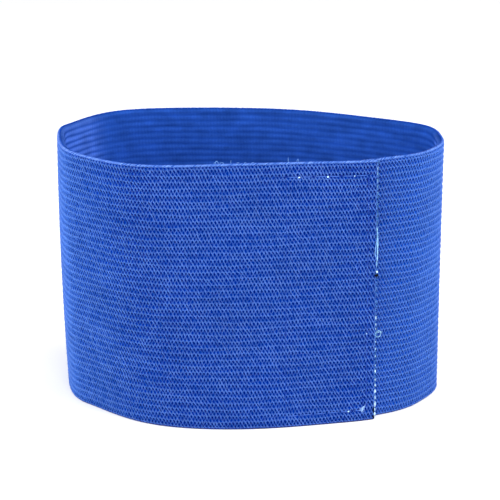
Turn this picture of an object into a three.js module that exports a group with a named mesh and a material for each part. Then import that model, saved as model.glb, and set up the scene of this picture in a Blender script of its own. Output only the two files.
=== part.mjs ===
import * as THREE from 'three';

// Captain's armband: a wide knitted elastic strip wound once round on itself and standing on its
// edge as an open loop. Its outer end laps over its under end on the front, right of the middle,
// and a thin fastener patch sewn inside the outer end grips the under end.
// Millimetres, +Z up. The origin is on the surface that the band stands on, under the middle of
// the loop. -Y is the front, where the ends lap, and +X is to the right as seen from the front.

// The knitted elastic strip
const band_height = 65;          // width of the strip, which stands upright
const band_thickness = 1.6;      // wall of the elastic
const selvedge_radius = 0.4;     // rounding of the woven edges at the rim and the foot

// The loop seen from above, over its outer face
const rim_width = 94;            // left to right along the rim
const rim_depth = 53.25;         // front to back along the rim
const foot_width = 93;
const foot_depth = 56.75;
const rim_lean_left = 0.7;       // the rim leans this much to the left of the foot
const rim_lean_back = 1.5;       // and this much back from it
const left_bow = 0.5;            // half way up, the left turn bulges out by this much
const left_turn_at = 0.76;       // share of the way round at which it bulges most
const left_turn_reach = 0.2;     // share of the way, on each side, over which that fades out

// The lap on the front. Lengths run along the strip from the middle of the front, right is plus
const outer_end_at = 30.6;       // the cut outer end, at its foot
const end_slant = 0.85;          // the cut slants: at the rim it lies this much further left
const slant_reach = 20;          // how far before the cut the strip begins to follow it
const lap_length = 37;           // how far the outer end covers the under end
const lap_gap = 0.3;             // air between the two thicknesses at the cut end
const settle_length = 14;        // past the cut end the under strip comes out flush over this
const under_rim_drop = 1.2;      // the under end's rim sits lower than the outer one
const drop_starts_before = 12;   // where that drop is whole, before the cut end
const drop_ends_after = 6;       // where it has faded out, past the cut end

// The fastener patch inside the outer end
const patch_length = 21.8;       // along the strip
const patch_height = 61;
const patch_thickness = 0.6;
const patch_clearance = 0.2;     // air on each face of the patch
const patch_setback = 1.9;       // from the cut end to the patch

const colors = { elastic: 0x2f56b5, patch: 0x1c3f96 };

// Control points of the loop's outline seen from above, from the front middle round to the right,
// the back and the left, as shares of half its width and half its depth. The foot differs a little
// from the rim: it is narrower, and deeper at the front.
const outline = [
  { rim_x: -0.21, rim_y: -0.98, foot_x: 0.00, foot_y: -1.03 },
  { rim_x: 0.35, rim_y: -0.87, foot_x: 0.41, foot_y: -0.86 },
  { rim_x: 0.74, rim_y: -0.86, foot_x: 0.67, foot_y: -0.79 },
  { rim_x: 1.00, rim_y: -0.30, foot_x: 0.90, foot_y: -0.33 },
  { rim_x: 0.98, rim_y: 0.01, foot_x: 1.00, foot_y: -0.03 },
  { rim_x: 0.97, rim_y: 0.39, foot_x: 0.91, foot_y: 0.51 },
  { rim_x: 0.63, rim_y: 0.66, foot_x: 0.61, foot_y: 0.74 },
  { rim_x: 0.23, rim_y: 1.01, foot_x: 0.19, foot_y: 0.96 },
  { rim_x: -0.40, rim_y: 1.03, foot_x: -0.25, foot_y: 1.01 },
  { rim_x: -0.77, rim_y: 0.93, foot_x: -0.60, foot_y: 0.99 },
  { rim_x: -0.94, rim_y: 0.39, foot_x: -0.87, foot_y: 0.81 },
  { rim_x: -0.99, rim_y: 0.33, foot_x: -1.05, foot_y: 0.38 },
  { rim_x: -0.95, rim_y: -0.41, foot_x: -0.98, foot_y: -0.34 },
  { rim_x: -0.84, rim_y: -0.64, foot_x: -0.87, foot_y: -0.45 },
  { rim_x: -0.57, rim_y: -1.04, foot_x: -0.57, foot_y: -0.98 },
];

// How finely the solids are faceted
const outline_samples = 1440;
const station_spacing = 1.7;     // along the strip
const corner_steps = 2;          // facets round each edge of the strip
const tangent_step = 0.5;        // how far to each side the strip's direction is measured

const mix = THREE.MathUtils.lerp;

// A smooth closed curve pulled by its control points: the uniform cubic B-spline
function smoothClosed(points) {
  const curve = [];
  for (let i = 0; i < outline_samples; i += 1) {
    const place = (i / outline_samples) * points.length;
    const k = Math.floor(place);
    const w = place - k;
    const weights = [
      (1 - w) ** 3 / 6,
      (3 * w ** 3 - 6 * w ** 2 + 4) / 6,
      (-3 * w ** 3 + 3 * w ** 2 + 3 * w + 1) / 6,
      w ** 3 / 6,
    ];
    const point = new THREE.Vector2();
    weights.forEach((weight, j) => {
      point.addScaledVector(points[(k + j - 1 + points.length) % points.length], weight);
    });
    curve.push(point);
  }
  return curve;
}

// One level of the outline, stretched so that it is exactly as wide and as deep as its sizes say
function fitOutline(points, width, depth, centre) {
  const curve = smoothClosed(points);
  const box = new THREE.Box2().setFromPoints(curve);
  const size = box.getSize(new THREE.Vector2());
  const middle = box.getCenter(new THREE.Vector2());
  return curve.map((point) => new THREE.Vector2(
    ((point.x - middle.x) / size.x) * width + centre.x,
    ((point.y - middle.y) / size.y) * depth + centre.y,
  ));
}

// Measures a closed outline along its length, starting where it crosses the front's middle
function measure(curve) {
  const crossing = (point, i) => {
    const before = curve[(i - 1 + curve.length) % curve.length];
    return point.y < 0 && before.x < 0 && point.x >= 0;
  };
  const start = curve.findIndex(crossing);
  const points = curve.map((_, i) => curve[(start + i) % curve.length]);
  points.push(points[0]);
  const lengths = [0];
  for (let i = 1; i < points.length; i += 1) {
    lengths.push(lengths[i - 1] + points[i].distanceTo(points[i - 1]));
  }
  return { points, lengths, total: lengths[lengths.length - 1] };
}

// The point that lies a share of the whole way round a measured outline
function pointAt(level, share) {
  const target = (share - Math.floor(share)) * level.total;
  let i = level.lengths.findIndex((length) => length > target);
  if (i < 1) {
    i = 1;
  }
  const t = (target - level.lengths[i - 1]) / (level.lengths[i] - level.lengths[i - 1]);
  return level.points[i - 1].clone().lerp(level.points[i], t);
}

const foot_centre = new THREE.Vector2();
const rim_centre = new THREE.Vector2(-rim_lean_left, rim_lean_back);
const footTable = outline.map((row) => new THREE.Vector2(row.foot_x, row.foot_y));
const rimTable = outline.map((row) => new THREE.Vector2(row.rim_x, row.rim_y));
const footCurve = fitOutline(footTable, foot_width, foot_depth, foot_centre);
const rimCurve = fitOutline(rimTable, rim_width, rim_depth, rim_centre);
const extent = new THREE.Box2().setFromPoints([...footCurve, ...rimCurve]);
const loopMiddle = extent.getCenter(new THREE.Vector2());
footCurve.forEach((point) => point.sub(loopMiddle));
rimCurve.forEach((point) => point.sub(loopMiddle));
const foot = measure(footCurve);
const rim = measure(rimCurve);
const loop_length = (foot.total + rim.total) / 2;

// How far the strip bulges outwards between its foot and its rim, most at the left turn
function bulge(share, rise) {
  const away = Math.abs(share - Math.floor(share) - left_turn_at);
  const fade = 1 - THREE.MathUtils.smoothstep(away, 0, left_turn_reach);
  return left_bow * 4 * rise * (1 - rise) * fade;
}

// A point of the strip: along it, up it, and inwards from the loop's outer face
function onLoop(along, up, inwards) {
  const share = along / loop_length;
  const step = tangent_step / loop_length;
  const rise = up / band_height;
  const at = (s) => pointAt(foot, s).lerp(pointAt(rim, s), rise);
  const here = at(share);
  const forward = at(share + step).sub(at(share - step)).normalize();
  const depth = inwards - bulge(share, rise);
  return new THREE.Vector3(here.x - forward.y * depth, here.y + forward.x * depth, up);
}

// How far the strip's outer face lies inside the outline. The outer end follows the outline, and
// the under end lies behind it and the patch, then comes out flush past the cut end
const patch_to = outer_end_at - patch_setback;
const patch_from = patch_to - patch_length;
const behind_patch = band_thickness + patch_thickness + 2 * patch_clearance;
const behind_end = band_thickness + lap_gap;
const under_end_at = outer_end_at - lap_length;

function setIn(along) {
  if (along >= outer_end_at) {
    const out = THREE.MathUtils.smoothstep(along, outer_end_at, outer_end_at + settle_length);
    return behind_end * (1 - out);
  }
  return mix(behind_patch, behind_end, THREE.MathUtils.smoothstep(along, patch_to, outer_end_at));
}

// How far the rim of the strip is pulled down near its under end
function rimDrop(along) {
  const whole = outer_end_at - drop_starts_before;
  const none = outer_end_at + drop_ends_after;
  return under_rim_drop * (1 - THREE.MathUtils.smoothstep(along, whole, none));
}

// Places along the strip at which its section is drawn, evenly spaced between the given marks
function stationsBetween(marks) {
  const stations = [marks[0]];
  for (let i = 1; i < marks.length; i += 1) {
    const gap = marks[i] - marks[i - 1];
    const count = Math.max(1, Math.round(gap / station_spacing));
    for (let k = 1; k <= count; k += 1) {
      stations.push(marks[i - 1] + (gap * k) / count);
    }
  }
  return stations;
}

// The outer half of a strip's section from foot to rim, as distances in from its outer face and
// up from its foot, with rounded edges. The inner half mirrors it. A row drawn back lies that much
// earlier along the strip
function sectionRows(height, radius) {
  const rows = [];
  for (let k = 0; k <= corner_steps; k += 1) {
    const turn = (k / corner_steps) * (Math.PI / 2);
    rows.push({ inset: radius * (1 - Math.sin(turn)), up: radius * (1 - Math.cos(turn)) });
  }
  rows.push({ inset: 0, up: height / 2 });
  for (let k = corner_steps; k >= 0; k -= 1) {
    const turn = (k / corner_steps) * (Math.PI / 2);
    rows.push({ inset: radius * (1 - Math.sin(turn)), up: height - radius * (1 - Math.cos(turn)) });
  }
  return rows;
}

// One closed solid swept along the loop: at each station a ring of points goes up the outer face
// and down the inner one, neighbouring rings are joined, and the two ends are closed flat
function sweptStrip(stations, thickness, rowsAt, depthAt) {
  const positions = [];
  let ring = 0;
  stations.forEach((along) => {
    const rows = rowsAt(along);
    const face = depthAt(along);
    const at = (row, inwards) => onLoop(along - row.back, row.up, face + inwards);
    const outer = rows.map((row) => at(row, row.inset));
    const inner = rows.map((row) => at(row, thickness - row.inset));
    const points = [...outer, ...inner.reverse()];
    ring = points.length;
    points.forEach((point) => positions.push(point.x, point.y, point.z));
  });
  const triangles = [];
  for (let s = 0; s + 1 < stations.length; s += 1) {
    for (let k = 0; k < ring; k += 1) {
      const a = s * ring + k;
      const b = s * ring + ((k + 1) % ring);
      triangles.push(a, a + ring, b, b, a + ring, b + ring);
    }
  }
  const last = (stations.length - 1) * ring;
  for (let k = 0; k + 1 < ring / 2; k += 1) {
    const [a, b, c, d] = [k, k + 1, ring - 2 - k, ring - 1 - k];
    triangles.push(a, b, c, a, c, d);
    triangles.push(last + a, last + c, last + b, last + a, last + d, last + c);
  }
  const geometry = new THREE.BufferGeometry();
  geometry.setAttribute('position', new THREE.Float32BufferAttribute(positions, 3));
  geometry.setIndex(triangles);
  geometry.computeVertexNormals();
  return geometry;
}

function elasticBand() {
  const cut = loop_length + outer_end_at;
  const marks = [
    under_end_at,
    patch_to,
    outer_end_at,
    outer_end_at + settle_length,
    loop_length + under_end_at,
    loop_length + patch_from,
    loop_length + patch_to,
    cut,
  ];
  const isUnder = (along) => along < loop_length / 2;
  const rowsAt = (along) => {
    const drop = isUnder(along) ? rimDrop(along) : 0;
    const slant = end_slant * THREE.MathUtils.smoothstep(along, cut - slant_reach, cut);
    return sectionRows(band_height - drop, selvedge_radius)
      .map((row) => ({ ...row, back: (slant * row.up) / band_height }));
  };
  const depthAt = (along) => (isUnder(along) ? setIn(along) : 0);
  const material = new THREE.MeshStandardMaterial({
    color: colors.elastic, roughness: 0.9, metalness: 0,
  });
  const geometry = sweptStrip(stationsBetween(marks), band_thickness, rowsAt, depthAt);
  const mesh = new THREE.Mesh(geometry, material);
  mesh.name = 'elastic_band';
  return mesh;
}

function hookPatch() {
  const foot_margin = (band_height - patch_height) / 2;
  const rows = [foot_margin, foot_margin + patch_height].map((up) => ({ inset: 0, up, back: 0 }));
  const depth = band_thickness + patch_clearance;
  const stations = stationsBetween([patch_from, patch_to]);
  const material = new THREE.MeshStandardMaterial({
    color: colors.patch, roughness: 0.7, metalness: 0,
  });
  const geometry = sweptStrip(stations, patch_thickness, () => rows, () => depth);
  const mesh = new THREE.Mesh(geometry, material);
  mesh.name = 'hook_patch';
  return mesh;
}

const armband = new THREE.Group();
armband.add(elasticBand(), hookPatch());

export default armband;
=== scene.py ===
"""A captain's armband: a wide knitted elastic strip lapped round on itself, standing on its edge."""

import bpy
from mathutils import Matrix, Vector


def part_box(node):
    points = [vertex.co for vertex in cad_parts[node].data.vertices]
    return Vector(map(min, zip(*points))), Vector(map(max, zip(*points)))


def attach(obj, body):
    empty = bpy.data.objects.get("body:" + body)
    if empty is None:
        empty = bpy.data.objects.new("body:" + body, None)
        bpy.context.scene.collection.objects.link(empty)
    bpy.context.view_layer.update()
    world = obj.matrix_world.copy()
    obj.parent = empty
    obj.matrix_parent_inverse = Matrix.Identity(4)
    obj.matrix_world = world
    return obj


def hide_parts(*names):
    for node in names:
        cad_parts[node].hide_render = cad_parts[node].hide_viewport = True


bl_info = {
    "name": "Knitted Elastic Armband",
    "version": (1, 0, 0),
    "blender": (4, 5, 0),
    "location": "View3D > Sidebar > Armband",
    "description": "Builds a lapped knitted elastic armband, its loops, stitches and cut end",
    "category": "Add Mesh",
}

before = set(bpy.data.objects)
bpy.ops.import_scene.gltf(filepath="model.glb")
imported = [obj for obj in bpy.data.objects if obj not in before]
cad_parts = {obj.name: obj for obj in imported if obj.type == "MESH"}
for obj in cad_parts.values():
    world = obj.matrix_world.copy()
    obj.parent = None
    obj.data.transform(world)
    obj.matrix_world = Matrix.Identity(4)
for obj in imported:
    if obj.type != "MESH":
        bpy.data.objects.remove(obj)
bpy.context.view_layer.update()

import bpy
import numpy as np
from mathutils import Vector

BAND_LOW, BAND_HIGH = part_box("elastic_band")
MM = 0.001
BODY = "root"
OUTLINE_SAMPLES = 1440
SEED = 11
NAP_TINT = (0.75, 0.45, 0.95, 1.0)

# Half the width in columns, half the height in ribs and the lean of the gaps in each rib
LARGE_GAP = (0.3, 0.24, 0.35)
SMALL_GAP = (0.26, 0.19, 0.35)

# How many waves of noise there are to a metre, for slow patches and for the grain of the yarn
BLOTCHES, FIBRES_SEEN, NAP_GRAIN = 90.0, 2600.0, 5200.0

PANEL_SIZE = 0.5
FLOOR_HALF = 4.0
FLOOR_CORNERS = ((-1, -1), (1, -1), (1, 1), (-1, 1))
SENSOR = 36.0


def srgb(red, green, blue):
    """A screen colour from 0 to 255 as the linear colour that a shader takes."""
    screen = np.array((red, green, blue)) / 255
    linear = np.where(screen <= 0.04045, screen / 12.92, ((screen + 0.055) / 1.055) ** 2.4)
    return tuple(float(value) for value in linear)


def length(name, description, millimetres):
    """A length property in metres, with its default given in millimetres."""
    return bpy.props.FloatProperty(
        name=name,
        description=description,
        default=millimetres * MM,
        precision=5,
        subtype="DISTANCE",
        unit="LENGTH",
    )


def number(name, description, value):
    """A plain number property that can't fall below 0."""
    return bpy.props.FloatProperty(name=name, description=description, default=value, min=0)


def colour(name, description, red, green, blue):
    """A colour property with its default given as a screen colour."""
    return bpy.props.FloatVectorProperty(
        name=name,
        description=description,
        default=srgb(red, green, blue),
        size=3,
        min=0.0,
        max=1.0,
        subtype="COLOR",
    )


def table(columns, *rows):
    """Rows of numbers, each as a dictionary by the names of the columns."""
    return [dict(zip(columns.split(), row)) for row in rows]


class LoopSizes(bpy.types.PropertyGroup):
    """The open loop seen from above, over its outer face."""

    rim_width: length("Rim width", "Left to right along the rim", 94)
    rim_depth: length("Rim depth", "Front to back along the rim", 53.25)
    foot_width: length("Foot width", "Left to right along the foot", 93)
    foot_depth: length("Foot depth", "Front to back along the foot", 56.75)
    rim_lean_left: length("Rim lean left", "How far the rim leans to the left of the foot", 0.7)
    rim_lean_back: length("Rim lean back", "How far the rim leans back from the foot", 1.5)
    left_bow: length("Left bow", "Half way up, the left turn bulges out by this much", 0.5)
    left_turn_at: number("Left turn", "Share of the way round at which it bulges", 0.76)
    left_turn_reach: number("Left turn reach", "Share of the way, each side, that it fades over", 0.2)


class LapSizes(bpy.types.PropertyGroup):
    """The lap on the front. Lengths run along the strip from the middle of the front."""

    outer_end_at: length("Outer end", "Where the foot of the cut lies, right of the middle", 30.6)
    end_slant: length("End slant", "At its rim the cut lies this much further left", 0.85)
    slant_reach: length("Slant reach", "How far before the cut the strip begins to follow it", 20)
    lap_length: length("Lap", "How far the outer end covers the under end", 37)
    lap_gap: length("Lap gap", "Air between the two thicknesses at the cut end", 0.3)
    settle_length: length("Settling", "Past the cut the under strip comes out flush over this", 14)
    under_rim_drop: length("Rim drop", "How much lower the rim of the under end sits", 1.2)
    drop_starts_before: length("Drop whole", "Before the cut end the drop is whole", 12)
    drop_ends_after: length("Drop faded", "Past the cut end the drop has faded out", 6)
    patch_thickness: length("Patch thickness", "The fastener patch inside the outer end", 0.6)
    patch_clearance: length("Patch clearance", "Air on each face of the patch", 0.2)
    patch_setback: length("Patch setback", "From the cut end to the patch", 1.9)


class KnitSizes(bpy.types.PropertyGroup):
    """The knit of the strip: ribs along it, columns of loops across it."""

    thickness: length("Thickness", "Wall of the knitted elastic", 1.6)
    ribs: bpy.props.IntProperty(
        name="Ribs", description="Ribs over the height of the strip", default=42, min=4
    )
    column: length("Column", "Length of strip that one column of loops takes", 0.85)
    ground_depth: length("Ground depth", "Depth of the ribs' crowns under the loops", 0.16)
    rib_relief: length("Rib relief", "Depth of the grooves between the outer ribs", 0.3)
    inner_relief: length("Inner relief", "Depth of the grooves between the inner ribs", 0.12)
    edge_rounding: length("Edge rounding", "Rounding of the rim and the foot", 0.35)
    rim_fall: length("Rim fall", "How much lower the rim is inside than outside", 0.45)
    leg_radius: length("Loop leg radius", "Radius of the yarn of one loop", 0.16)
    cross_radius: length("Cross yarn radius", "Radius of the crossing yarn", 0.13)
    edge_yarn_radius: length("Edge yarn radius", "Radius of the yarn bound round an edge", 0.13)


class StitchSizes(bpy.types.PropertyGroup):
    """The rectangle of stitches that holds the fastener patch."""

    left_at: length("Left line", "Along the strip from the middle of the front", 8.4)
    right_at: length("Right line", "Along the strip from the middle of the front", 28.45)
    below_rim: length("Top line", "Below the rim", 3.55)
    above_foot: length("Bottom line", "Above the foot", 2.95)
    stitch: length("Stitch", "Length of one stitch", 3.25)
    thread_radius: length("Thread radius", "Radius of the sewing thread", 0.1)


class FinishColours(bpy.types.PropertyGroup):
    """The colours of the yarns, the rubber and the thread, and the painted light and shade on them.
    """

    # Gaps: painted shade, the dark in the knit's gaps between the loops and on the yarn round the
    # foot
    hole_shade: colour("Gaps", "Between the loops", 0, 24, 116)
    ground: colour("Ground", "Knit behind the loops", 4, 52, 148)
    # Ridge: a painted highlight on the crown of each rib
    ridge_highlight: colour("Ridge", "Crown of a rib", 24, 80, 172)
    # Loops: the low colour is painted shade where the yarn dips, the high one a painted highlight on
    # the crowns
    leg_shade: colour("Loops, low", "Yarn of the loops where it dips", 2, 69, 162)
    leg_highlight: colour("Loops, high", "Yarn of the loops on the ribs' crowns", 78, 121, 202)
    inside: colour("Inside", "Smooth inner face", 36, 78, 167)
    # Inside, painted light: a painted light on the inner face round the left turn and past the cut
    # end
    inside_painted_light: colour("Inside, painted light", "Inner face at the left turn", 92, 132, 232)
    # Inside grooves: painted shade in the grooves and upright lines of the inner face
    inside_groove_shade: colour("Inside grooves", "Grooves of the inner face", 24, 63, 148)
    # Selvedge: a painted highlight on the yarn bound round the rim
    edge: colour("Selvedge highlight", "Yarn bound round the rim", 109, 147, 223)
    rubber: colour("Rubber", "Cores at the cut end", 206, 234, 250)
    pulled: colour("Pulled core", "Core that was drawn out along the cut", 150, 200, 232)
    knot: colour("Knots", "Pale thread that shows at the knots", 200, 240, 250)
    thread: colour("Thread", "Blue sewing thread", 66, 107, 194)
    # Needle holes: painted shade where the thread dives into the knit
    needle_shade: colour("Needle holes", "Where the thread dives into the knit", 4, 32, 122)
    fringe: colour("Fringe", "Short fibres of the cut", 50, 118, 176)
    fluff: colour("Fluff", "Stray fibres", 120, 168, 228)
    patch: colour("Patch", "Fastener patch", 24, 52, 128)
    # Dark spots at the cut, partly painted shadow
    dark_cut: colour("Cut dark spots", "Dark spots at the cut, partly painted shadow", 0, 2, 12)


class StageSettings(bpy.types.PropertyGroup):
    """The camera, the floor and the lights."""

    pitch: bpy.props.FloatProperty(
        name="Camera pitch",
        description="How far the camera looks down",
        default=np.radians(18.63),
        subtype="ANGLE",
        unit="ROTATION",
    )
    distance: length("Camera distance", "From the camera to its target", 484.96)
    target_x: length("Target X", "What the camera looks at", 0.02)
    target_y: length("Target Y", "What the camera looks at", -26.16)
    target_z: length("Target Z", "What the camera looks at", 44.77)
    lens: number("Lens", "Focal length in millimetres", 149.45)
    floor: colour("Floor", "The plain pale floor", 250, 250, 251)
    surround: number("Surround", "Strength of the even white surround", 0.6)
    side_light: number("Side light", "Power that the side panels take shares of, in watts", 4.9)
    top_light: number("Top light", "Power of the panel above in watts", 3)
    front_light: number("Front light", "Power of the front panel in watts", 4)


# Control points of the loop's outline seen from above, from the front middle round to the right,
# the back and the left, as shares of half its width and half its depth
OUTLINE = table(
    "rim_x rim_y foot_x foot_y",
    (-0.21, -0.98, 0.00, -1.03),
    (0.35, -0.87, 0.41, -0.86),
    (0.74, -0.86, 0.67, -0.79),
    (1.00, -0.30, 0.90, -0.33),
    (0.98, 0.01, 1.00, -0.03),
    (0.97, 0.39, 0.91, 0.51),
    (0.63, 0.66, 0.61, 0.74),
    (0.23, 1.01, 0.19, 0.96),
    (-0.40, 1.03, -0.25, 1.01),
    (-0.77, 0.93, -0.60, 0.99),
    (-0.94, 0.39, -0.87, 0.81),
    (-0.99, 0.33, -1.05, 0.38),
    (-0.95, -0.41, -0.98, -0.34),
    (-0.84, -0.64, -0.87, -0.45),
    (-0.57, -1.04, -0.57, -0.98),
)


def smoothstep(value, low, high):
    """0 below low, 1 above high and the cubic 3t^2 - 2t^3 between them."""
    t = np.clip((value - low) / (high - low), 0, 1)
    return t * t * (3 - 2 * t)


def smooth_closed(points):
    """A closed curve pulled by its control points: each stretch blends four neighbouring points
    by the weights of the uniform cubic B-spline."""
    place = np.linspace(0, len(points), OUTLINE_SAMPLES, endpoint=False)
    k = place.astype(int)
    w = (place - k)[:, None]
    weights = (
        (1 - w) ** 3 / 6,
        (3 * w**3 - 6 * w**2 + 4) / 6,
        (-3 * w**3 + 3 * w**2 + 3 * w + 1) / 6,
        w**3 / 6,
    )
    return sum(weight * points[(k + j - 1) % len(points)] for j, weight in enumerate(weights))


def fit_outline(points, width, depth, centre):
    """One level of the outline, stretched so that it is exactly as wide and as deep as it says."""
    curve = smooth_closed(points)
    low, high = curve.min(axis=0), curve.max(axis=0)
    return (curve - (low + high) / 2) / (high - low) * (width, depth) + centre


class Level:
    """A closed outline measured along its length from where it crosses the front's middle."""

    def __init__(self, curve):
        before = np.roll(curve, 1, axis=0)
        crossing = (curve[:, 1] < 0) & (before[:, 0] < 0) & (curve[:, 0] >= 0)
        curve = np.roll(curve, -int(np.argmax(crossing)), axis=0)
        self.points = np.vstack([curve, curve[:1]])
        steps = np.linalg.norm(np.diff(self.points, axis=0), axis=1)
        self.lengths = np.concatenate([[0.0], np.cumsum(steps)])
        self.total = self.lengths[-1]

    def at(self, share):
        """The points that lie the given shares of the whole way round."""
        along = (share % 1.0) * self.total
        x = np.interp(along, self.lengths, self.points[:, 0])
        y = np.interp(along, self.lengths, self.points[:, 1])
        return np.stack([x, y], axis=-1)


class Strip:
    """The elastic strip as it lies in the loop. A place on it is given by its run from the under
    end, its height up from the foot and its depth in from the strip's outer face."""

    def __init__(self, scene):
        loop, self.lap, self.knit = scene.armband_loop, scene.armband_lap, scene.armband_knit
        self.loop = loop
        self.height = BAND_HIGH[2] - BAND_LOW[2]
        lean = np.array([-loop.rim_lean_left, loop.rim_lean_back])
        foot = np.array([[row["foot_x"], row["foot_y"]] for row in OUTLINE])
        rim = np.array([[row["rim_x"], row["rim_y"]] for row in OUTLINE])
        foot = fit_outline(foot, loop.foot_width, loop.foot_depth, np.zeros(2))
        rim = fit_outline(rim, loop.rim_width, loop.rim_depth, lean)
        both = np.vstack([foot, rim])
        middle = (both.min(axis=0) + both.max(axis=0)) / 2
        self.foot, self.rim = Level(foot - middle), Level(rim - middle)
        self.loop_length = (self.foot.total + self.rim.total) / 2
        self.starts_at = self.lap.outer_end_at - self.lap.lap_length
        self.length = self.loop_length + self.lap.lap_length
        self.columns = round(self.length / self.knit.column)
        self.rib = self.height / self.knit.ribs

    def bulge(self, share, rise):
        """How far the strip bulges outwards between foot and rim: a parabola of the height that
        fades out to both sides of the left turn."""
        away = np.abs(share % 1.0 - self.loop.left_turn_at)
        fade = 1 - smoothstep(away, 0, self.loop.left_turn_reach)
        return self.loop.left_bow * 4 * rise * (1 - rise) * fade

    def on_loop(self, along, up, inwards):
        """Blends foot and rim by height, then moves in along the outline's normal."""
        share = along / self.loop_length
        step = 0.5 * MM / self.loop_length
        inwards = inwards - self.bulge(share, up / self.height)
        rise = (up / self.height)[..., None]

        def at(place):
            return self.foot.at(place) * (1 - rise) + self.rim.at(place) * rise

        here = at(share)
        forward = at(share + step) - at(share - step)
        forward /= np.linalg.norm(forward, axis=-1, keepdims=True)
        x = here[..., 0] - forward[..., 1] * inwards
        y = here[..., 1] + forward[..., 0] * inwards
        return np.stack([x, y, up], axis=-1)

    def set_in(self, along):
        """How far the under end lies inside the outline, behind the patch and the outer end."""
        lap, wall = self.lap, self.knit.thickness
        behind_patch = wall + lap.patch_thickness + 2 * lap.patch_clearance
        behind_end = wall + lap.lap_gap
        end = lap.outer_end_at
        out = smoothstep(along, end, end + lap.settle_length)
        towards_end = smoothstep(along, end - lap.patch_setback, end)
        inside = behind_patch + (behind_end - behind_patch) * towards_end
        return np.where(along >= end, behind_end * (1 - out), inside)

    def rim_drop(self, along):
        """How far the rim of the under end is pulled down."""
        lap = self.lap
        whole = lap.outer_end_at - lap.drop_starts_before
        none = lap.outer_end_at + lap.drop_ends_after
        return lap.under_rim_drop * (1 - smoothstep(along, whole, none))

    def place(self, run, up, depth):
        """The points of the strip at arrays of run, height and depth."""
        run, up, depth = np.broadcast_arrays(run, up, depth)
        along = run + self.starts_at
        cut = self.length + self.starts_at
        slant = self.lap.end_slant * smoothstep(along, cut - self.lap.slant_reach, cut)
        along = along - slant * up / self.height
        under = along < self.loop_length / 2
        depth = depth + np.where(under, self.set_in(along), 0)
        up = up * (1 - np.where(under, self.rim_drop(along), 0) / self.height)
        return self.on_loop(along, up, depth)

    def outward(self, run, up, depth):
        """The direction out of the strip's outer face at each place."""
        out = self.place(run, up, depth - 0.1 * MM) - self.place(run, up, depth + 0.1 * MM)
        return out / np.linalg.norm(out, axis=-1, keepdims=True)

    def ground_at(self, row):
        """Depth of the ground at a height counted in ribs down from the rim. Each rib swells
        slowly out to its crown at three quarters of its height and drops back steeply: a table
        of four depths, blended straight between them."""
        part = (row % 1.0) * 4
        depths = np.array([1.0, 0.62, 0.45, 0.0, 1.0])
        share = np.interp(part, np.arange(5), depths)
        return self.knit.ground_depth + self.knit.rib_relief * share

    def closed(self, run):
        """How far the knit has drawn together, 0 to 1: most just past the cut end and round the
        left turn, and nowhere on the front, where the patch holds it open."""
        past = run - self.lap.lap_length
        beside_cut = smoothstep(past, -2 * MM, 3 * MM) * (1 - smoothstep(past, 14 * MM, 34 * MM))
        turn = np.abs(run + self.starts_at - self.loop.left_turn_at * self.loop_length)
        return np.maximum(beside_cut, 0.6 * (1 - smoothstep(turn, 6 * MM, 30 * MM)))

    def stray(self, column, row):
        """How far the loops stray from an even grid, in columns and ribs: a few slow waves."""
        across = 0.16 * np.sin(column / 7.3 + 1.7 * np.sin(row / 3.1))
        across = across + 0.1 * np.sin(column / 2.9 + row * 1.3 + 2 * np.sin(column / 17))
        down = 0.06 * np.sin(column / 5.1 + row / 1.9) + 0.05 * np.sin(column / 2.3 - row * 2.2)
        return across, down


def add_mesh(name, points, faces, material, uv=None, tone=None):
    """Puts arrays of points and equal-sided faces into a new smooth mesh object that rides on
    the band's body. uv and tone are given for each point."""
    mesh = bpy.data.meshes.new(name)
    mesh.vertices.add(len(points))
    mesh.vertices.foreach_set("co", points.astype(np.float32).ravel())
    mesh.loops.add(faces.size)
    mesh.loops.foreach_set("vertex_index", faces.astype(np.int32).ravel())
    mesh.polygons.add(len(faces))
    starts = np.arange(0, faces.size, faces.shape[1], dtype=np.int32)
    mesh.polygons.foreach_set("loop_start", starts)
    mesh.update(calc_edges=True)
    if mesh.validate():
        raise RuntimeError(f"{name}: its faces aren't a sound mesh")
    mesh.shade_smooth()
    if uv is not None:
        layer = mesh.uv_layers.new(name="knit")
        layer.data.foreach_set("uv", uv[faces.ravel()].astype(np.float32).ravel())
    if tone is not None:
        values = mesh.attributes.new("tone", "FLOAT", "POINT")
        values.data.foreach_set("value", tone.astype(np.float32))
    mesh.materials.append(material)
    piece = bpy.data.objects.new(name, mesh)
    bpy.context.scene.collection.objects.link(piece)
    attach(piece, BODY)
    return piece


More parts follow.
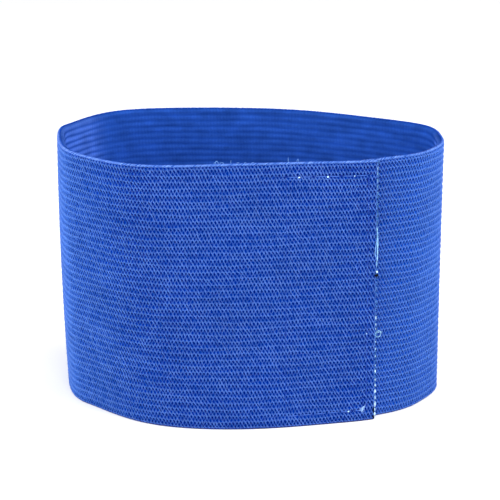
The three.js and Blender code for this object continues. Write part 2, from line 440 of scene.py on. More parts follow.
def tube_arrays(paths, outward, radius, sides):
    """Points and triangles of closed tubes. Each path is a row of points, and at each of them a
    ring of the given sides is turned by the path's direction and by outward. A fan closes each
    end. radius is a number or an array for each point."""
    count, steps = paths.shape[:2]
    direction = np.gradient(paths, axis=1)
    direction /= np.linalg.norm(direction, axis=-1, keepdims=True)
    side = np.cross(direction, outward)
    side /= np.linalg.norm(side, axis=-1, keepdims=True)
    crown = np.cross(side, direction)
    angles = np.pi / 2 + np.arange(sides) * 2 * np.pi / sides
    radius = np.broadcast_to(radius, (count, steps))[..., None, None]
    rings = paths[:, :, None] + radius * (
        side[:, :, None] * np.cos(angles)[:, None] + crown[:, :, None] * np.sin(angles)[:, None]
    )
    points = rings.reshape(count, steps * sides, 3)
    points = np.concatenate([points, paths[:, :1], paths[:, -1:]], axis=1)
    s = np.arange(steps - 1)[:, None] * sides
    k = np.arange(sides)[None]
    a, b = s + k, s + (k + 1) % sides
    walls = np.stack([a, b, a + sides, b, b + sides, a + sides], axis=-1).reshape(-1, 3)
    k = np.arange(sides)
    after = (k + 1) % sides
    last = (steps - 1) * sides
    near = np.stack([np.full(sides, steps * sides), after, k], axis=-1)
    far = np.stack([np.full(sides, steps * sides + 1), last + k, last + after], axis=-1)
    one = np.vstack([walls, near, far])
    offsets = np.arange(count)[:, None, None] * points.shape[1]
    return points.reshape(-1, 3), (one[None] + offsets).reshape(-1, 3)


def spread_tone(tone, steps, sides):
    """One tone for each point of each path, repeated for the points of its tube."""
    rings = np.repeat(tone, sides, axis=1)
    return np.concatenate([rings, tone[:, :1], tone[:, -1:]], axis=1).ravel()


def lay_tubes(strip, name, place, radius, sides, finish, tone=None):
    """A piece of closed tubes whose paths are given by run, height and depth on the strip."""
    points, faces = tube_arrays(strip.place(*place), strip.outward(*place), radius, sides)
    if tone is not None:
        tone = spread_tone(tone + 0 * place[0], place[0].shape[1], sides)
    return add_mesh(name, points, faces, finish, tone=tone)


class Shader:
    """A new node material around one Principled shader. Its methods add nodes and give back
    their output sockets, and an input may be a socket or a plain value."""

    def __init__(self, name, roughness, specular=0.1, nap=0.0):
        self.material = bpy.data.materials.new(name)
        self.material.use_nodes = True
        self.tree = self.material.node_tree
        self.surface = self.tree.nodes["Principled BSDF"]
        self.surface.inputs["Roughness"].default_value = roughness
        self.surface.inputs["Specular IOR Level"].default_value = specular
        self.surface.inputs["Sheen Weight"].default_value = nap
        self.surface.inputs["Sheen Roughness"].default_value = 0.4
        self.surface.inputs["Sheen Tint"].default_value = NAP_TINT

    def feed(self, socket, value):
        """Links a socket, or sets it to a plain value."""
        if isinstance(value, bpy.types.NodeSocket):
            self.tree.links.new(value, socket)
        elif hasattr(value, "__len__") and len(socket.default_value) == 4:
            socket.default_value = (*value[:3], 1.0)
        else:
            socket.default_value = value

    def add(self, kind, inputs=(), **settings):
        """A node of a kind, with its settings and its inputs by name or number."""
        made = self.tree.nodes.new(kind)
        for key, value in settings.items():
            setattr(made, key, value)
        for key, value in dict(inputs).items():
            self.feed(made.inputs[key], value)
        return made

    def math(self, operation, *values):
        """A sum, product or other operation on sockets and numbers."""
        made = self.add("ShaderNodeMath", dict(enumerate(values)), operation=operation)
        return made.outputs[0]

    def mix(self, factor, first, second):
        """Blends two colours by a factor."""
        inputs = {0: factor, 6: first, 7: second}
        return self.add("ShaderNodeMix", inputs, data_type="RGBA").outputs[2]

    def noise(self, scale, detail=2.0, vector=None):
        """Soft noise of about 0 to 1 on object coordinates, so many waves to a metre, or on a
        given vector."""
        if vector is None:
            vector = self.add("ShaderNodeTexCoord").outputs["Object"]
        inputs = {"Vector": vector, "Scale": scale, "Detail": detail}
        return self.add("ShaderNodeTexNoise", inputs).outputs["Fac"]

    def tone(self):
        """The tone that each point of the mesh carries."""
        made = self.add("ShaderNodeAttribute", attribute_name="tone")
        return made.outputs["Fac"]

    def knit_map(self, columns, ribs):
        """The piece's own map, counted so many times along it and so many times down it."""
        uv = self.add("ShaderNodeUVMap", uv_map="knit").outputs["UV"]
        inputs = {"Vector": uv, "Scale": (columns, ribs, 1)}
        return self.add("ShaderNodeMapping", inputs).outputs["Vector"]

    def knit_grid(self, strip):
        """The piece's own map counted in columns and ribs, as two sockets."""
        parts = self.add("ShaderNodeSeparateXYZ", {0: self.knit_map(strip.columns, strip.knit.ribs)})
        return parts.outputs["X"], parts.outputs["Y"]

    def streaks(self, strip):
        """Noise drawn out along the ribs, over about ten columns each."""
        return self.noise(1.0, 2.0, self.knit_map(strip.columns / 10, strip.knit.ribs * 1.3))

    def off_centre(self, value, shift):
        """Signed distance to the nearest whole number, after a shift."""
        part = self.math("FRACT", self.math("ADD", value, shift + 0.5))
        return self.math("SUBTRACT", part, 0.5)

    def spot(self, across, down, wide, tall, slant):
        """1 in the middle of each slanted oval and near 0 outside it: exp of minus the squared
        distance."""
        leaned = self.math("SUBTRACT", across, self.math("MULTIPLY", down, slant))
        x = self.math("POWER", self.math("ABSOLUTE", self.math("DIVIDE", leaned, wide)), 2.0)
        y = self.math("POWER", self.math("ABSOLUTE", self.math("DIVIDE", down, tall)), 2.0)
        return self.math("EXPONENT", self.math("MULTIPLY", self.math("ADD", x, y), -1.0))

    def bump(self, height, strength, distance):
        """Lets a height tilt the surface's normal."""
        inputs = {"Height": height, "Strength": strength, "Distance": distance}
        self.feed(self.surface.inputs["Normal"], self.add("ShaderNodeBump", inputs).outputs[0])

    def paint(self, value):
        """Gives the surface its colour."""
        self.feed(self.surface.inputs["Base Color"], value)

    def shade(self, colour_in, factor, amount):
        """Makes a colour lighter and darker by a factor around a half."""
        swing = self.math("MULTIPLY_ADD", factor, 2 * amount, 1 - amount)
        made = self.add("ShaderNodeVectorMath", {0: colour_in}, operation="SCALE")
        self.feed(made.inputs["Scale"], swing)
        return made.outputs[0]


def outer_knit(strip, colours):
    """Ground of the outer face: gaps in two staggered rows for each rib, painted dark as shade, a
    painted highlight on the crown above the larger ones, slow blotches and a fine nap. Painted
    shade darkens it where it turns under the foot."""
    s = Shader("Outer_Knit", 1.0, 0.0)
    column, row = s.knit_grid(strip)
    large = s.spot(s.off_centre(column, 0), s.off_centre(row, 0), *LARGE_GAP)
    small = s.spot(s.off_centre(column, 0.5), s.off_centre(row, 0.5), *SMALL_GAP)
    # Painted highlight: the crown of each rib is painted lighter in the ridge colour
    crown = s.spot(0.0, s.off_centre(row, 0.25), 1.0, 0.2, 0.0)
    base = s.mix(s.math("MULTIPLY", crown, 0.6), colours.ground, colours.ridge_highlight)
    # The gaps are painted in the gap colour: painted shade in the knit's gaps
    gaps = s.math("MAXIMUM", large, s.math("MULTIPLY", small, 0.8))
    gaps = s.math("MULTIPLY", gaps, s.math("MULTIPLY_ADD", s.tone(), -0.95, 1.0))
    base = s.mix(gaps, base, colours.hole_shade)
    base = s.shade(base, s.noise(BLOTCHES, 3.0), 0.12)
    base = s.shade(base, s.streaks(strip), 0.28)
    base = s.shade(base, s.noise(FIBRES_SEEN, 2.0), 0.25)
    # Painted shade: the ground is painted darker where it turns under the foot
    foot_shade = s.spot(0.0, s.math("SUBTRACT", row, float(strip.knit.ribs)), 1.0, 0.5, 0.0)
    s.paint(s.shade(base, s.math("MULTIPLY_ADD", foot_shade, -0.5, 0.5), 0.6))
    depth = s.math("SUBTRACT", s.math("MULTIPLY", s.noise(NAP_GRAIN, 1.0), 0.4), gaps)
    s.bump(depth, 0.8, 0.12 * MM)
    return s.material


def inner_knit(strip, colours):
    """Inner face: smooth soft ribs whose grooves and faint upright lines are painted darker as
    shade, a painted light where the tone marks the knit as drawn together, round the left turn
    and just past the cut end, and painted shade where it turns over at the rim."""
    s = Shader("Inner_Knit", 1.0, 0.0)
    column, row = s.knit_grid(strip)
    # Painted shade: the grooves between the inner ribs and the faint upright lines are painted darker
    groove = s.spot(0.0, s.off_centre(row, 0), 1.0, 0.26, 0.0)
    groove = s.math("MULTIPLY", groove, s.math("MULTIPLY_ADD", s.noise(40.0, 2.0), 0.9, 0.4))
    line = s.spot(s.off_centre(column, 0), 0.0, 0.28, 1.0, 0.0)
    line = s.math("MULTIPLY", line, s.noise(55.0, 2.0))
    # Painted light: where the tone is high, round the left turn and just past the cut end, the inner
    # face is painted paler
    drawn = s.math("MULTIPLY", s.tone(), s.math("MULTIPLY_ADD", s.noise(70.0, 2.0), 6.0, 1.5))
    drawn = s.math("MINIMUM", drawn, 0.5)
    base = s.mix(drawn, colours.inside, colours.inside_painted_light)
    base = s.mix(groove, base, colours.inside_groove_shade)
    base = s.mix(s.math("MULTIPLY", line, 0.6), base, colours.inside_groove_shade)
    base = s.shade(base, s.noise(260.0, 3.0), 0.42)
    base = s.shade(base, s.streaks(strip), 0.22)
    base = s.shade(base, s.noise(2400.0, 2.0), 0.16)
    # Painted shade: the inner face is painted darker where it turns over at the rim, which keeps the
    # back rim dark
    rim_shade = s.spot(0.0, row, 1.0, 0.55, 0.0)
    s.paint(s.shade(base, s.math("MULTIPLY_ADD", rim_shade, -0.5, 0.5), 0.3))
    s.bump(s.math("SUBTRACT", s.noise(3800.0, 1.0), s.math("MULTIPLY", line, 0.5)), 0.5, 0.06 * MM)
    return s.material


def yarn(name, tint, light, roughness=0.72):
    """Twisted yarn whose tone runs from its own colour to a lighter one, with a fine nap."""
    s = Shader(name, roughness, 0.15, 0.1)
    base = s.mix(s.tone(), tint, light)
    base = s.shade(base, s.noise(BLOTCHES, 3.0), 0.14)
    base = s.shade(base, s.noise(4200.0, 2.0), 0.2)
    s.paint(base)
    s.bump(s.noise(NAP_GRAIN, 1.0), 0.5, 0.05 * MM)
    return s.material


def plain_finish(name, tint, roughness, noise_scale, swing, relief):
    """A finish of one colour with a slow and a fine variation and a fine bump."""
    s = Shader(name, roughness)
    base = s.shade(tuple(tint), s.noise(noise_scale, 2.0), swing)
    s.paint(s.shade(base, s.noise(noise_scale * 9, 2.0), swing / 2))
    s.bump(s.noise(noise_scale * 6, 2.0), 0.5, relief)
    return s.material


class ArmbandOperator:
    """What every piece's operator has in common."""

    bl_options = {"REGISTER"}

    def execute(self, context):
        self.build(context.scene, Strip(context.scene), context.scene.armband_colours)
        return {"FINISHED"}


class ARMBAND_OT_ground(ArmbandOperator, bpy.types.Operator):
    """The strip itself: one closed body with its ribs on both faces"""

    bl_idname = "armband.ground"
    bl_label = "Knitted Ground"

    def build(self, scene, strip, colours):
        """A ring of rows goes up the outer face, over the rim, down the inner face and under the
        foot, and is carried along the strip. The depth of a row follows from its height alone,
        and quarter circles round the four edges."""
        knit = strip.knit
        wall, edge = knit.thickness, knit.edge_rounding
        rows_per_rib, corner, stations = 4, 4, 268
        count = knit.ribs * rows_per_rib
        up = strip.height * np.arange(1, count) / count
        outer = strip.ground_at((strip.height - up) / strip.rib)
        inner_up = up * (1 - knit.rim_fall / strip.height)
        row = (strip.height - inner_up) / strip.rib
        inner = wall - knit.inner_relief * (0.5 - 0.5 * np.cos(2 * np.pi * (row + 0.5)))
        turn = np.radians(np.linspace(10, 90, corner))
        inset, lift = edge * (1 - np.cos(turn)), edge * np.sin(turn)
        inset = np.concatenate([inset + knit.ground_depth, [0.48 * wall]])
        over = np.concatenate([inset, wall - inset[::-1] + knit.ground_depth])
        over = np.minimum(over, wall)
        rise = np.concatenate([lift, [edge, edge], lift[::-1]])
        top = strip.height - edge - knit.rim_fall * over / wall
        ring_up = np.concatenate([up, top + rise, inner_up[::-1], edge - rise])
        ring_depth = np.concatenate([outer, over, inner[::-1], over[::-1]])
        run = np.linspace(0, strip.length, stations)[:, None]
        points = strip.place(run, ring_up[None], ring_depth[None])

        column = run / strip.length * strip.columns
        ring_row = (strip.height - ring_up[None]) / strip.rib
        across, down = strip.stray(column, ring_row)
        uv = np.stack(
            [(column - across) / strip.columns, (ring_row - down) / knit.ribs], axis=-1
        )
        size = len(ring_up)
        s = np.arange(stations - 1)[:, None] * size
        k = np.arange(size)[None]
        after = (k + 1) % size
        walls = np.stack([s + k, s + size + k, s + size + after, s + after], axis=-1)
        k = np.arange(-len(over) // 2, len(up) + len(over) // 2 - 1)
        far = 2 * len(up) + len(over) - 1 - k
        near_cap = np.stack([k, k + 1, far - 1, far], axis=-1) % size
        far_cap = near_cap[:, ::-1] + (stations - 1) * size
        faces = np.vstack([walls.reshape(-1, 4), near_cap, far_cap])
        # The tone is how far the knit has drawn together: it closes the outer gaps, and on the inner
        # face it places a painted light
        closed = strip.closed(run) + 0 * ring_up[None]
        piece = add_mesh(
            "knit_ground", points.reshape(-1, 3), faces, outer_knit(strip, colours),
            uv.reshape(-1, 2), closed.ravel(),
        )
        piece.data.materials.append(inner_knit(strip, colours))
        inner_from = len(up) + corner
        inner_to = 2 * len(up) + len(over) + corner
        index = np.zeros((stations - 1, size), dtype=np.int32)
        index[:, inner_from:inner_to] = 1
        caps = np.zeros(len(faces) - index.size, dtype=np.int32)
        piece.data.polygons.foreach_set("material_index", np.concatenate([index.ravel(), caps]))
        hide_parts("elastic_band")


def lay_yarn(strip, column, row, depth, radius, tone, sides=3):
    """Tubes along short paths given in columns and ribs. The paths stray with the knit, and turn
    along the edges and the cut end where they would pass them."""
    across, down = strip.stray(column, row)
    run = (column + across) / strip.columns * strip.length
    up = strip.height - (row + down) * strip.rib
    margin = 0.45 * MM
    keep = (run.min(axis=1) < strip.length - margin / 4) & (run.max(axis=1) > 0)
    run = np.clip(run[keep], margin / 4, strip.length - margin / 4)
    up = np.clip(up[keep], margin, strip.height - margin)
    depth, radius, tone = (np.broadcast_to(x, column.shape)[keep] for x in (depth, radius, tone))
    paths = strip.place(run, up, depth)
    points, faces = tube_arrays(paths, strip.outward(run, up, depth), radius, sides)
    return points, faces, spread_tone(tone, column.shape[1], sides)


class ARMBAND_OT_loops(ArmbandOperator, bpy.types.Operator):
    """The net of loops on the outer face: slanted legs and the yarn that crosses them"""

    bl_idname = "armband.loops"
    bl_label = "Knitted Loops"

    def build(self, scene, strip, colours):
        """Each leg runs one column over for each rib down, and the crossing yarn the other way,
        so that they leave two staggered rows of gaps in each rib. Both lie highest above the
        row of the larger gaps. Their tone paints them lighter where they lie high, a painted
        highlight, and darker where they dip, painted shade."""
        random = np.random.default_rng(SEED)
        knit = strip.knit
        first = int((strip.lap.lap_length - 2 * MM) / strip.length * strip.columns)
        column, row = np.meshgrid(np.arange(first, strip.columns), np.arange(knit.ribs + 1))
        grain = random.normal(0, 1, column.shape)
        streak = sum(np.roll(grain, shift, axis=1) for shift in range(9)).reshape(-1, 1) / 3
        column, row = column.reshape(-1, 1) + 0.5, row.reshape(-1, 1).astype(float)
        closed = strip.closed(column / strip.columns * strip.length)
        material = yarn("Loop_Yarn", colours.leg_shade, colours.leg_highlight)
        lowest, rise = 0.24 * MM, 0.17 * MM
        for name, way, steps, sunk, thick, light in (
            ("loop_legs", 1, 5, 0.0, knit.leg_radius, 0.12),
            ("cross_yarn", -1, 4, 0.05 * MM, knit.cross_radius, -0.02),
        ):
            v = np.linspace(-0.28, 0.78, steps)[None]
            jitter = random.normal(0, 0.07, column.shape)
            high = 0.5 + 0.5 * np.cos(2 * np.pi * (v + 0.22))
            depth = sunk + lowest - rise * high
            radius = thick * (0.85 + 0.2 * high) * random.uniform(0.85, 1.15, column.shape)
            radius = radius * (1 + 0.3 * closed)
            # Painted highlight and shade: the loops' tone is lighter where the yarn lies high and
            # darker where it dips, with a random variation
            tone = 0.05 + 0.75 * high + 0.08 * streak + random.normal(0, 0.19, column.shape)
            tone = light + tone + closed * (0.28 + 0.56 * high**4 - tone)
            path_column, path_row = column + jitter + way * v, row + v
            tone = np.clip(tone, 0, 1)
            for number, part in enumerate(np.array_split(np.arange(len(column)), 2), 1):
                points, faces, spread = lay_yarn(
                    strip, path_column[part], path_row[part], depth, radius[part], tone[part]
                )
                add_mesh(f"{name}_{number}", points, faces, material, tone=spread)


class ARMBAND_OT_edges(ArmbandOperator, bpy.types.Operator):
    """The yarn bound over the outer edge of the rim and of the foot"""

    bl_idname = "armband.edges"
    bl_label = "Bound Edges"

    def build(self, scene, strip, colours):
        """Twice in each column an arc of yarn goes from the outer face over the edge into the
        middle of the wall, leaning along the strip as it goes: part of an ellipse in depth and
        height. Every other arc is painted darker as shade, and each is painted darker towards its
        inner end, painted shade that keeps the back rim dark. The rim's arcs are painted lighter
        over the top of the edge, a painted highlight, and the foot's arcs are painted dark as shade."""
        random = np.random.default_rng(SEED + 1)
        knit = strip.knit
        steps = 6
        number = np.arange(2 * strip.columns)[:, None]
        column = number / 2 + 0.25
        shadow = number % 2 * 0.3
        turn = np.radians(np.linspace(15, 100, steps))[None]
        lean = 0.55 * np.sin(np.linspace(-1.3, 1.3, steps))[None]
        across, along_height, above = 0.42 * MM, 0.46 * MM, 0.66 * MM
        run = (column + lean + random.normal(0, 0.04, column.shape)) * strip.length / strip.columns
        run = np.clip(run, 0, strip.length)
        depth = 0.5 * MM - across * np.cos(turn) + 0 * run
        high = 0.5 + 0.5 * np.sin(turn)
        thick = knit.edge_yarn_radius * (0.85 + 0.3 * high)
        thick = thick * random.uniform(0.85, 1.15, column.shape)
        for name, base, way, light in (
            ("rim_edge", strip.height + 0.08 * MM, -1, 0.25),
            ("foot_edge", 0.0, 1, -0.25),
        ):
            # Painted shade: the foot's arcs are painted in the gap and ground colours, darker than
            # the rim's
            dark = colours.leg_shade if way < 0 else colours.hole_shade
            pale = colours.edge if way < 0 else colours.ground
            up = base + way * (above - along_height * np.sin(turn)) + 0 * run
            # Painted highlight over the top of the edge, painted shade on every other arc and towards
            # each arc's inner end, and a random variation
            tone = light + 0.5 * high - shadow + random.normal(0, 0.16, column.shape)
            tone = tone - 0.7 * smoothstep(turn, np.radians(55), np.radians(85))
            tone = np.clip(tone, 0, 1)
            material = yarn(name.title() + "_Yarn", dark, pale)
            lay_tubes(strip, name, (run, up, depth), thick, 4, material, tone)


def lay_marks(strip, name, marks, depth, finish):
    """Spindles that lie on the strip as the marks say: their thickness is an ellipse of their
    length, and their light is their tone."""
    values = np.array([[row[key] for key in ("at", "up", "long", "thick")] for row in marks])
    at, height, long, thick = (values * MM).T[:, :, None]
    lean = np.radians([row["lean"] for row in marks])[:, None]
    t = np.linspace(-0.97, 0.97, 9)[None]
    run = strip.loop_length - strip.starts_at + at + long / 2 * t * np.cos(lean)
    up = height + long / 2 * t * np.sin(lean)
    depth = depth + 0 * run
    radius = thick / 2 * np.sqrt(1 - t**2)
    light = np.array([row["light"] for row in marks])[:, None]
    return lay_tubes(strip, name, (run, up, depth), radius, 8, finish, light)


def lay_thread(strip, name, places, radius, finish):
    """A thread through its places, rounded by averaging neighbouring points."""
    nodes = np.array([[row["at"], row["up"], row["depth"]] for row in places]) * MM
    place = np.linspace(0, len(nodes) - 1, 10 * len(nodes))
    path = np.stack([np.interp(place, np.arange(len(nodes)), nodes[:, i]) for i in range(3)])
    for _ in range(12):
        path[:, 1:-1] = (path[:, :-2] + path[:, 1:-1] + path[:, 2:]) / 3
    run = strip.loop_length - strip.starts_at + path[0][None]
    up, depth = path[1][None], path[2][None]
    t = np.linspace(0, 1, run.size)[None]
    radius = radius * (1 - 0.6 * t**6) * (1 + 0.2 * np.sin(37 * t))
    return lay_tubes(strip, name, (run, up, depth), radius, 6, finish)


# Where the rubber cores show on the cut outer end. In this and the tables below, places lie along
# the strip from the middle of the front and up from the foot, in millimetres, lean is in degrees
CORES = table(
    "at up long thick lean light",
    (30.72, 62.9, 0.9, 0.22, 85, 0.35),
    (30.70, 61.6, 0.9, 0.20, 95, 0.30),
    (30.72, 59.9, 0.9, 0.20, 90, 0.35),
    (30.70, 58.5, 0.7, 0.16, 90, 0.25),
    (30.72, 57.0, 0.5, 0.16, 90, 0.20),
    (30.72, 52.3, 0.6, 0.12, 90, 0.10),
    (30.72, 49.2, 0.6, 0.14, 90, 0.20),
    (30.72, 33.4, 0.7, 0.14, 90, 0.15),
    (30.72, 30.2, 0.6, 0.12, 90, 0.10),
    (30.78, 26.0, 0.9, 0.28, 88, 0.75),
    (30.78, 24.3, 0.6, 0.26, 92, 0.60),
    (30.78, 23.2, 0.4, 0.24, 90, 0.50),
    (30.78, 19.9, 0.5, 0.24, 90, 0.50),
    (30.80, 18.1, 0.6, 0.28, 92, 0.55),
    (30.80, 16.2, 0.6, 0.26, 88, 0.50),
    (30.82, 13.9, 0.5, 0.28, 90, 0.50),
    (30.82, 12.3, 0.9, 0.36, 90, 0.90),
    (30.84, 10.2, 0.6, 0.30, 90, 0.60),
    (30.86, 8.8, 0.8, 0.32, 92, 0.70),
    (30.84, 7.2, 1.0, 0.50, 88, 0.75),
    (30.88, 5.6, 1.1, 0.32, 90, 0.60),
    (30.86, 3.9, 1.5, 0.46, 90, 0.75),
    (30.86, 2.5, 0.9, 0.38, 92, 0.60),
    (30.80, 1.4, 0.9, 0.56, 84, 0.85),
    (30.86, 37.5, 0.6, 0.52, 90, 1.00),
)
# Dark spots at the cut: the two low ones are painted shadow along the foot of the cut end, the others
# are a black spot by the edge and a dark fleck beside the loose core
DARK_CUT_MARKS = table(
    "at up long thick lean light",
    (30.68, 36.75, 0.95, 0.7, 5, 0.00),
    (30.20, 42.5, 0.6, 0.24, 90, 0.00),
    (30.42, 2.6, 1.8, 0.28, 90, 0.00),
    (30.42, 0.7, 1.0, 0.34, 90, 0.00),
)

# A core that was pulled out along the cut, a paler loop of it and a fibre that curls out
PULLED = table(
    "at up depth",
    (30.80, 48.4, 0.45),
    (30.92, 46.6, 0.30),
    (30.98, 44.6, 0.25),
    (30.92, 42.8, 0.20),
    (30.98, 41.2, 0.25),
    (30.80, 39.8, 0.30),
    (30.78, 38.6, 0.40),
)
LOOSE = table(
    "at up depth",
    (30.85, 46.2, 0.10),
    (30.50, 44.9, -0.05),
    (30.32, 43.4, -0.10),
    (30.12, 42.3, -0.10),
    (30.45, 41.3, -0.05),
    (30.75, 40.6, 0.10),
)
CURL = table(
    "at up depth",
    (30.60, 21.2, 0.8),
    (30.95, 22.2, 0.5),
    (31.55, 22.6, 0.4),
    (32.25, 22.3, 0.4),
    (32.35, 21.5, 0.5),
    (31.90, 20.9, 0.6),
    (31.20, 20.9, 0.8),
    (31.00, 21.6, 1.1),
    (31.90, 21.9, 1.1),
    (33.10, 21.9, 1.0),
)


class ARMBAND_OT_cut_end(ArmbandOperator, bpy.types.Operator):
    """The cut outer end: rubber cores, a pulled core, dark spots that are partly painted shadow and a
    fringe of fibres
    """

    bl_idname = "armband.cut_end"
    bl_label = "Cut End"

    def build(self, scene, strip, colours):
        rubber = yarn("Rubber_Core", colours.fringe, colours.rubber, 0.5)
        pulled = plain_finish("Pulled_Core", colours.pulled, 0.5, 900.0, 0.35, 0.04 * MM)
        dark_cut = plain_finish("Dark_Cut_Mark", colours.dark_cut, 0.7, 1500.0, 0.2, 0.05 * MM)
        fluff = plain_finish("Curl_Fibre", colours.fluff, 0.6, 1500.0, 0.2, 0.02 * MM)
        lay_marks(strip, "rubber_cores", CORES, 0.3 * MM, rubber)
        # Dark spots at the cut, the low ones painted shadow along the foot of the cut end
        lay_marks(strip, "dark_cut_marks", DARK_CUT_MARKS, -0.05 * MM, dark_cut)
        lay_thread(strip, "pulled_core", PULLED, 0.11 * MM, pulled)
        lay_thread(strip, "loose_core", LOOSE, 0.08 * MM, fluff)
        lay_thread(strip, "curled_fibre", CURL, 0.075 * MM, pulled)
        self.add_fringe(strip, colours)

    def add_fringe(self, strip, colours):
        """Short fibres that stand out of the cut, each bent a little."""
        random = np.random.default_rng(SEED + 3)
        count, steps = 620, 4
        height = strip.height / MM
        t = np.linspace(0, 1, steps)[None]
        start = random.uniform(0.3, height - 0.3, (count, 1))
        up = start + random.normal(0, 0.3, (count, 1)) * t**2
        up = np.clip(up, 0.2, height - 0.2) * MM
        reach = random.uniform(0.15, 0.75, (count, 1))
        run = strip.length + (-0.2 + (reach + 0.2) * t) * MM
        depth = random.uniform(0.1, 1.5, (count, 1)) + random.normal(0, 0.15, (count, 1)) * t
        depth = depth * MM
        radius = 0.055 * MM * (1 - 0.6 * t) * random.uniform(0.7, 1.3, (count, 1))
        tone = random.uniform(0, 0.5, (count, 1))
        fringe = yarn("Fringe_Fibre", colours.fringe, colours.fluff)
        lay_tubes(strip, "cut_fringe", (run, up, depth), radius, 3, fringe, tone)


# Pale knots, needle holes painted dark as shade and a pale tuft on the patch's stitch lines
KNOTS = table(
    "at up long thick lean light",
    (11.31, 61.42, 0.46, 0.36, 20, 0.90),
    (18.30, 61.40, 0.50, 0.42, 10, 0.90),
    (24.97, 61.45, 0.42, 0.30, 60, 0.50),
    (23.94, 2.95, 0.50, 0.36, 30, 0.70),
    (28.28, 22.4, 0.50, 0.26, 80, 0.35),
)
HOLE_SHADES = table(
    "at up long thick lean light",
    (8.26, 61.6, 0.9, 0.34, 10, 0.00),
    (14.67, 61.4, 0.7, 0.40, 0, 0.00),
    (21.62, 61.5, 0.7, 0.44, 0, 0.00),
    (28.34, 60.6, 0.9, 0.32, 90, 0.00),
    (28.38, 59.2, 0.7, 0.26, 90, 0.00),
    (28.48, 47.7, 0.8, 0.22, 90, 0.00),
    (28.53, 43.3, 0.8, 0.24, 90, 0.00),
    (28.60, 38.9, 0.7, 0.22, 90, 0.00),
    (28.64, 34.6, 0.7, 0.22, 90, 0.00),
    (27.45, 6.4, 0.7, 0.28, 90, 0.00),
    (27.50, 5.0, 0.6, 0.28, 90, 0.00),
    (25.10, 3.1, 0.8, 0.34, 70, 0.00),
)
TUFT = table(
    "at up long thick lean light",
    (27.60, 3.55, 1.5, 0.16, 42, 0.45),
    (27.35, 3.40, 1.4, 0.18, 46, 0.40),
    (27.15, 3.15, 1.1, 0.18, 52, 0.35),
    (27.45, 3.05, 1.2, 0.20, 60, 0.50),
    (27.75, 3.20, 1.1, 0.16, 50, 0.30),
    (27.00, 3.45, 0.9, 0.16, 35, 0.15),
    (26.90, 3.00, 0.8, 0.16, 25, 0.15),
    (27.55, 2.65, 0.8, 0.16, 105, 0.35),
    (27.25, 2.60, 0.6, 0.14, 80, 0.20),
    (28.00, 3.75, 0.9, 0.12, 62, 0.15),
    (28.20, 4.30, 0.8, 0.10, 70, 0.05),
    (27.90, 2.85, 0.7, 0.14, 70, 0.10),
)


class ARMBAND_OT_stitches(ArmbandOperator, bpy.types.Operator):
    """The rectangle of stitches that holds the patch, its pale knots and its needle holes, painted
    dark as shade
    """

    bl_idname = "armband.stitches"
    bl_label = "Patch Stitches"

    def build(self, scene, strip, colours):
        self.add_rows(scene.armband_stitches, strip, colours)
        knot = yarn("Knot_Thread", colours.thread, colours.knot)
        tuft = yarn("Tuft_Fibre", colours.thread, colours.knot)
        hole_shade = plain_finish("Needle_Hole_Shade", colours.needle_shade, 0.9, 1500.0, 0.2, 0.05 * MM)
        lay_marks(strip, "knots", KNOTS, -0.08 * MM, knot)
        lay_marks(strip, "pale_tuft", TUFT, -0.04 * MM, tuft)
        # Dark spindles painted as shade in the needle holes
        lay_marks(strip, "needle_hole_shades", HOLE_SHADES, 0.04 * MM, hole_shade)

    def add_rows(self, sew, strip, colours):
        """Arched threads round the four sides of a rectangle. Those of the upright sides lie
        deep in the knit and are painted dark as shade; the others are painted lighter where they
        arch out, a painted highlight."""
        lap_start = strip.loop_length - strip.starts_at
        left, right = lap_start + sew.left_at, lap_start + sew.right_at
        top, bottom = strip.height - sew.below_rim, sew.above_foot
        corners = np.array(
            [[left, top], [right, top], [right, bottom], [left, bottom], [left, top]]
        )
        starts, ends = [], []
        for here, there in zip(corners[:-1], corners[1:]):
            count = round(np.linalg.norm(there - here) / sew.stitch)
            share = np.linspace(0, 1, count + 1)[:, None]
            line = here + (there - here) * share
            starts.append(line[:-1])
            ends.append(line[1:])
        starts, ends = np.vstack(starts), np.vstack(ends)
        t = np.linspace(0, 1, 9)[None, :, None]
        flat = starts[:, None] + (ends - starts)[:, None] * (0.1 + 0.8 * t)
        arch = np.sin(np.pi * t[..., 0])
        upright = np.abs(ends - starts)[:, :1] < 0.1 * MM
        sunk = np.where(upright, 0.06, 0.02) * MM
        run, up = flat[..., 0], flat[..., 1]
        depth = sunk + 0.12 * MM * (1 - arch)
        thread = yarn("Sewing_Thread", colours.ground, colours.thread)
        # Painted shade on the upright threads that lie deep in the knit, and a painted highlight
        # where the others arch out
        tone = np.where(upright, 0.1, 0.6 + 0.3 * arch)
        lay_tubes(
            strip, "patch_stitches", (run, up, depth), sew.thread_radius, 6, thread, tone
        )


# Stray fibres on the rim: place along the strip from the middle of the front, height above the
# rim's top, how far it strays to the right, and depth into the wall, in millimetres
FIBRES = table(
    "at high stray deep",
    (-8.5, 0.35, 0.5, 0.7),
    (-8.2, 0.55, 0.5, 0.9),
    (-7.5, 0.55, -0.6, 0.8),
    (-7.2, 0.30, 0.6, 0.5),
    (-6.2, 0.22, -0.5, 0.4),
    (-4.6, 0.65, 0.05, 0.7),
    (-3.4, 0.16, 0.7, 0.4),
    (-1.6, 0.14, 0.6, 0.4),
    (0.2, 0.16, 0.6, 0.4),
    (8.8, 0.95, -0.05, 0.7),
    (10.8, 0.45, 0.3, 0.7),
    (11.2, 0.55, -0.2, 0.8),
)


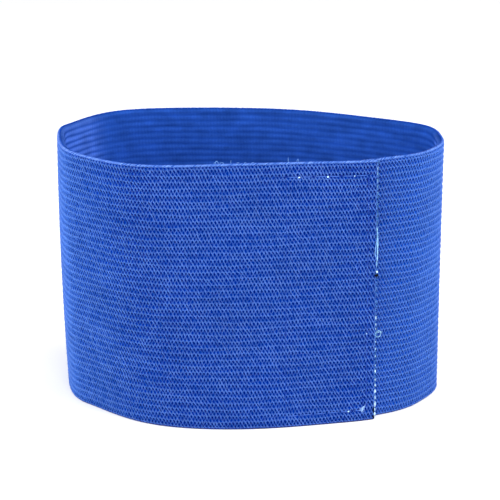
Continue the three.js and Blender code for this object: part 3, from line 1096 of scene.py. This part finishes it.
class ARMBAND_OT_fibres(ArmbandOperator, bpy.types.Operator):
    """The few stray fibres that stand up from the rim"""

    bl_idname = "armband.fibres"
    bl_label = "Stray Fibres"

    def build(self, scene, strip, colours):
        """Each rises from the rim by its height and strays sideways with the square of it."""
        columns = ("at", "high", "stray", "deep")
        values = np.array([[row[key] for key in columns] for row in FIBRES]) * MM
        at, high, stray, deep = values.T[:, :, None]
        t = np.linspace(0, 1, 7)[None]
        run = strip.loop_length - strip.starts_at + at + stray * t**2
        up = strip.height - 0.2 * MM + (high + 0.2 * MM) * np.sin(np.pi / 2 * t)
        depth = deep + 0.15 * MM * np.sin(3 * t)
        radius = 0.05 * MM * (1 - 0.5 * t)
        fluff = plain_finish("Fluff_Fibre", colours.fluff, 0.6, 1500.0, 0.2, 0.02 * MM)
        lay_tubes(strip, "rim_fibres", (run, up, depth), radius, 4, fluff)


class ARMBAND_OT_patch(ArmbandOperator, bpy.types.Operator):
    """The finish of the fastener patch inside the outer end"""

    bl_idname = "armband.patch"
    bl_label = "Fastener Patch"

    def build(self, scene, strip, colours):
        finish = plain_finish("Hook_Tape", colours.patch, 0.7, 800.0, 0.18, 0.08 * MM)
        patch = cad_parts["hook_patch"]
        patch.data.materials.clear()
        patch.data.materials.append(finish)


class ARMBAND_OT_stage(bpy.types.Operator):
    """The floor, the soft light and the camera"""

    bl_idname = "armband.stage"
    bl_label = "Stage"
    bl_options = {"REGISTER"}

    def execute(self, context):
        scene = context.scene
        settings = scene.armband_stage
        self.add_floor(scene, settings)
        self.add_lights(scene, settings)
        self.add_camera(scene, settings)
        scene.view_settings.view_transform = "Standard"
        return {"FINISHED"}

    def add_floor(self, scene, settings):
        """A flat square with a faint even grain."""
        corners = [(x * FLOOR_HALF, y * FLOOR_HALF, 0) for x, y in FLOOR_CORNERS]
        mesh = bpy.data.meshes.new("floor")
        mesh.from_pydata(corners, [], [(0, 1, 2, 3)])
        floor = bpy.data.objects.new("floor", mesh)
        scene.collection.objects.link(floor)
        s = Shader("Floor_Paper", 0.9)
        s.paint(s.shade(tuple(settings.floor), s.noise(6.0, 2.0), 0.004))
        mesh.materials.append(s.material)

    def add_panel(self, scene, name, place, aim, power):
        """A square soft light at a place, turned to its aim."""
        light = bpy.data.lights.new(name, "AREA")
        light.shape = "SQUARE"
        light.size = PANEL_SIZE
        light.energy = power
        panel = bpy.data.objects.new(name, light)
        panel.location = place
        direction = Vector(aim) - Vector(place)
        panel.rotation_euler = direction.to_track_quat("-Z", "Y").to_euler()
        scene.collection.objects.link(panel)

    def add_lights(self, scene, settings):
        """An even white surround, a panel at each side, one above and one in front."""
        world = bpy.data.worlds.new("white_surround")
        world.use_nodes = True
        background = world.node_tree.nodes["Background"]
        background.inputs["Color"].default_value = (1, 1, 1, 1)
        background.inputs["Strength"].default_value = settings.surround
        scene.world = world
        middle = (0, 0, 0.03)
        side, top, front = settings.side_light, settings.top_light, settings.front_light
        left, right = 0.9 * side, 0.45 * side
        self.add_panel(scene, "left_panel", (-0.6, -0.15, 0.3), middle, left)
        self.add_panel(scene, "right_panel", (0.6, -0.15, 0.3), middle, right)
        self.add_panel(scene, "top_panel", (0.45, -0.15, 0.6), middle, top)
        self.add_panel(scene, "front_panel", (0.05, -0.8, 0.45), middle, front)

    def add_camera(self, scene, settings):
        """The camera looks down by its pitch at a target on the front."""
        data = bpy.data.cameras.new("camera")
        data.lens = settings.lens
        data.sensor_width = SENSOR
        data.clip_start = 0.01
        camera = bpy.data.objects.new("camera", data)
        target = Vector((settings.target_x, settings.target_y, settings.target_z))
        back = Vector((0, -np.cos(settings.pitch), np.sin(settings.pitch)))
        camera.location = target + back * settings.distance
        camera.rotation_euler = (np.pi / 2 - settings.pitch, 0, 0)
        scene.collection.objects.link(camera)
        scene.camera = camera


class ARMBAND_PT_pieces(bpy.types.Panel):
    """Lists the pieces in the sidebar"""

    bl_label = "Armband"
    bl_idname = "ARMBAND_PT_pieces"
    bl_space_type = "VIEW_3D"
    bl_region_type = "UI"
    bl_category = "Armband"

    def draw(self, context):
        for operator in OPERATORS:
            self.layout.operator(operator.bl_idname)


OPERATORS = (
    ARMBAND_OT_ground,
    ARMBAND_OT_loops,
    ARMBAND_OT_edges,
    ARMBAND_OT_cut_end,
    ARMBAND_OT_stitches,
    ARMBAND_OT_fibres,
    ARMBAND_OT_patch,
    ARMBAND_OT_stage,
)
GROUPS = {
    "armband_loop": LoopSizes,
    "armband_lap": LapSizes,
    "armband_knit": KnitSizes,
    "armband_stitches": StitchSizes,
    "armband_colours": FinishColours,
    "armband_stage": StageSettings,
}


def register():
    for name, group in GROUPS.items():
        bpy.utils.register_class(group)
        setattr(bpy.types.Scene, name, bpy.props.PointerProperty(type=group))
    for operator in OPERATORS:
        bpy.utils.register_class(operator)
    bpy.utils.register_class(ARMBAND_PT_pieces)


def unregister():
    bpy.utils.unregister_class(ARMBAND_PT_pieces)
    for operator in reversed(OPERATORS):
        bpy.utils.unregister_class(operator)
    for name, group in GROUPS.items():
        delattr(bpy.types.Scene, name)
        bpy.utils.unregister_class(group)


def main():
    register()
    bpy.ops.armband.stage()
    bpy.ops.armband.ground()
    bpy.ops.armband.loops()
    bpy.ops.armband.edges()
    bpy.ops.armband.cut_end()
    bpy.ops.armband.stitches()
    bpy.ops.armband.fibres()
    bpy.ops.armband.patch()


if __name__ == "__main__":
    main()
